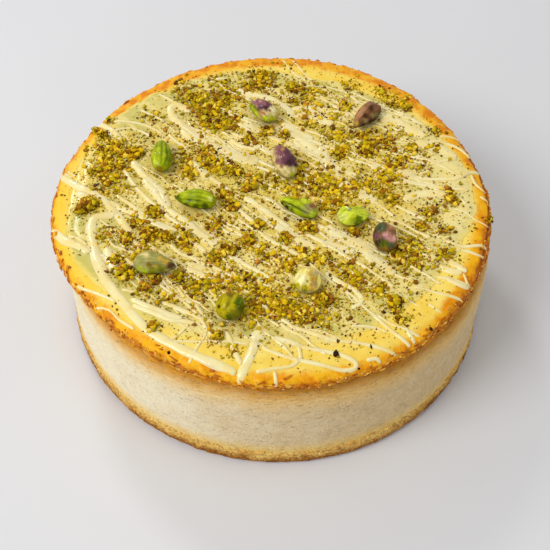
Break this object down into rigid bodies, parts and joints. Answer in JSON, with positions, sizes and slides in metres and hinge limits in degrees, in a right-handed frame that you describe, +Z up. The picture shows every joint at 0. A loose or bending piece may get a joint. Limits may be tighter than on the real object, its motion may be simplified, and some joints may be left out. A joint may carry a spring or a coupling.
{
  "type": "baked cheesecake",
  "caption": "Whole round baked cheesecake on a biscuit base, with a pale pistachio glaze, cream drizzle, chopped nuts and whole kernels.",
  "frame": {"origin": "middle of the underside of the biscuit base", "axes": "+Z up through the cake, -Y towards the front of the pictured cake, +X to its right"},
  "size_m": [0.2023, 0.2008, 0.0752],
  "materials": {
    "biscuit": "crumbly, dry, golden brown",
    "baked_filling": "cream coloured wall, browned neck and rim, yellow skin",
    "pale_glaze": "glossy pale pistachio green with cream drizzle",
    "green_kernel": "satin green nut flesh",
    "purple_kernel": "satin purple-brown nut skin"
  },
  "bodies": {
    "root": {"biscuit_base": "biscuit", "cheesecake": "baked_filling", "glaze": "pale_glaze", "pistachio_01": "purple_kernel", "pistachio_02": "purple_kernel", "pistachio_03": "green_kernel", "pistachio_04": "purple_kernel", "pistachio_05": "green_kernel", "pistachio_06": "green_kernel", "pistachio_07": "green_kernel", "pistachio_08": "purple_kernel", "pistachio_09": "green_kernel", "pistachio_10": "green_kernel", "pistachio_11": "green_kernel"}
  },
  "joints": []
}
